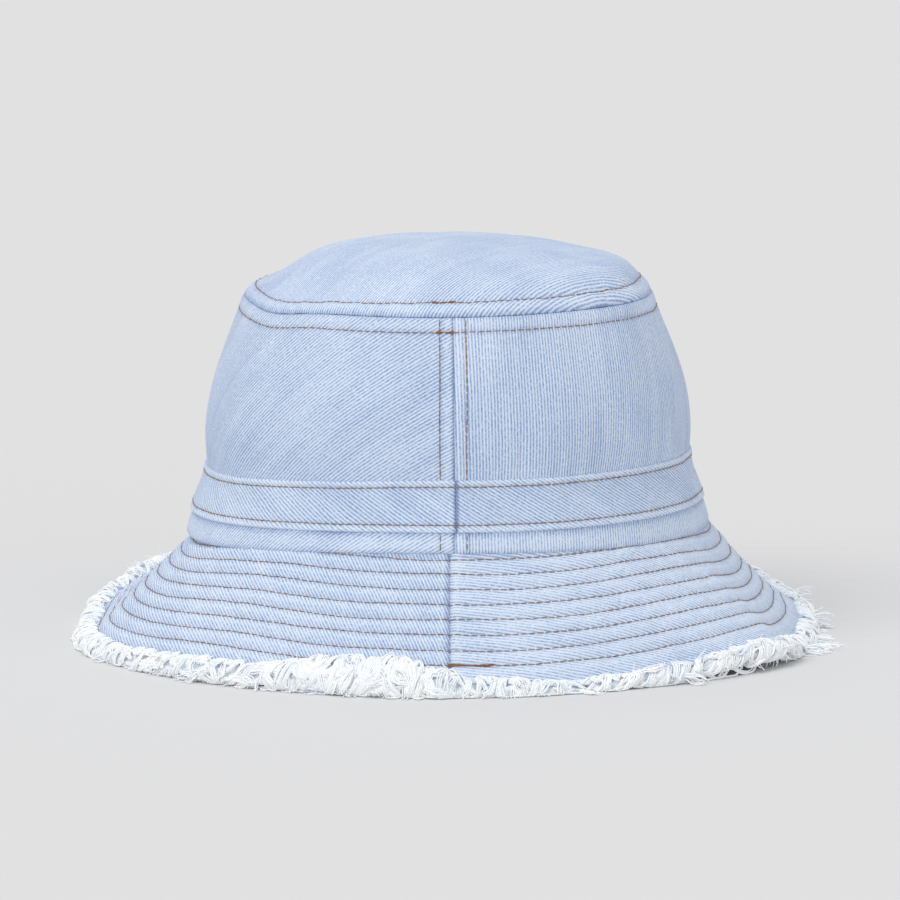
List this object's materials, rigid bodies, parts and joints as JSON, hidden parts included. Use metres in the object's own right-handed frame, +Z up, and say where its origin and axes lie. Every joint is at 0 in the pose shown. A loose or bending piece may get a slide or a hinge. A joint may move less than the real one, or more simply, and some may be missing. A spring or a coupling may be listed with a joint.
{
  "type": "bucket hat",
  "caption": "Soft denim bucket hat: domed tip, two-panel crown with a narrow band, and a flared, closely stitched brim that ends in a raw frayed edge.",
  "frame": {"origin": "on the table, under the middle of the hat's oval", "axes": "+Z up through the crown; +Y to the wearer's front, so the crown and brim seams at the centre of the back face -Y; +X to the wearer's right"},
  "size_m": [0.2652, 0.281, 0.1434],
  "materials": {
    "denim": "washed twill, matt",
    "thread": "spun topstitching thread",
    "fray": "loose undyed cotton yarn",
    "interlining": "plain stiff cotton",
    "sweatband": "cotton twill tape",
    "tape": "herringbone cotton tape",
    "label": "smooth woven satin, blank"
  },
  "bodies": {
    "hat": {"crown_tip": "denim", "crown_side_left": "denim", "crown_side_right": "denim", "hat_band": "denim", "upper_brim_left": "denim", "upper_brim_right": "denim", "brim_interlining": "interlining", "under_brim_left": "denim", "under_brim_right": "denim", "upper_brim_fray": "fray", "under_brim_fray": "fray", "sweatband": "sweatband", "tip_seam_tape": "tape", "back_seam_tape": "tape", "front_seam_tape": "tape", "size_label": "label", "tip_stitch_upper": "thread", "tip_stitch_lower": "thread", "back_seam_stitch_left": "thread", "back_seam_stitch_right": "thread", "front_seam_stitch_left": "thread", "front_seam_stitch_right": "thread", "band_stitch_lower": "thread", "band_stitch_upper": "thread", "sweatband_stitch": "thread", "brim_stitch_1": "thread", "brim_stitch_2": "thread", "brim_stitch_3": "thread", "brim_stitch_4": "thread", "brim_stitch_5": "thread", "brim_stitch_6": "thread", "brim_stitch_7": "thread", "brim_stitch_8": "thread", "brim_stitch_9": "thread"},
    "care_label": {"care_label": "label"}
  },
  "joints": [
    {"name": "care_label_flap", "type": "hinge", "parent": "hat", "child": "care_label", "pos_m": [-0.0822, 0, 0.0744], "axis": [0, -1, 0], "range_deg": [0, 150]}
  ]
}
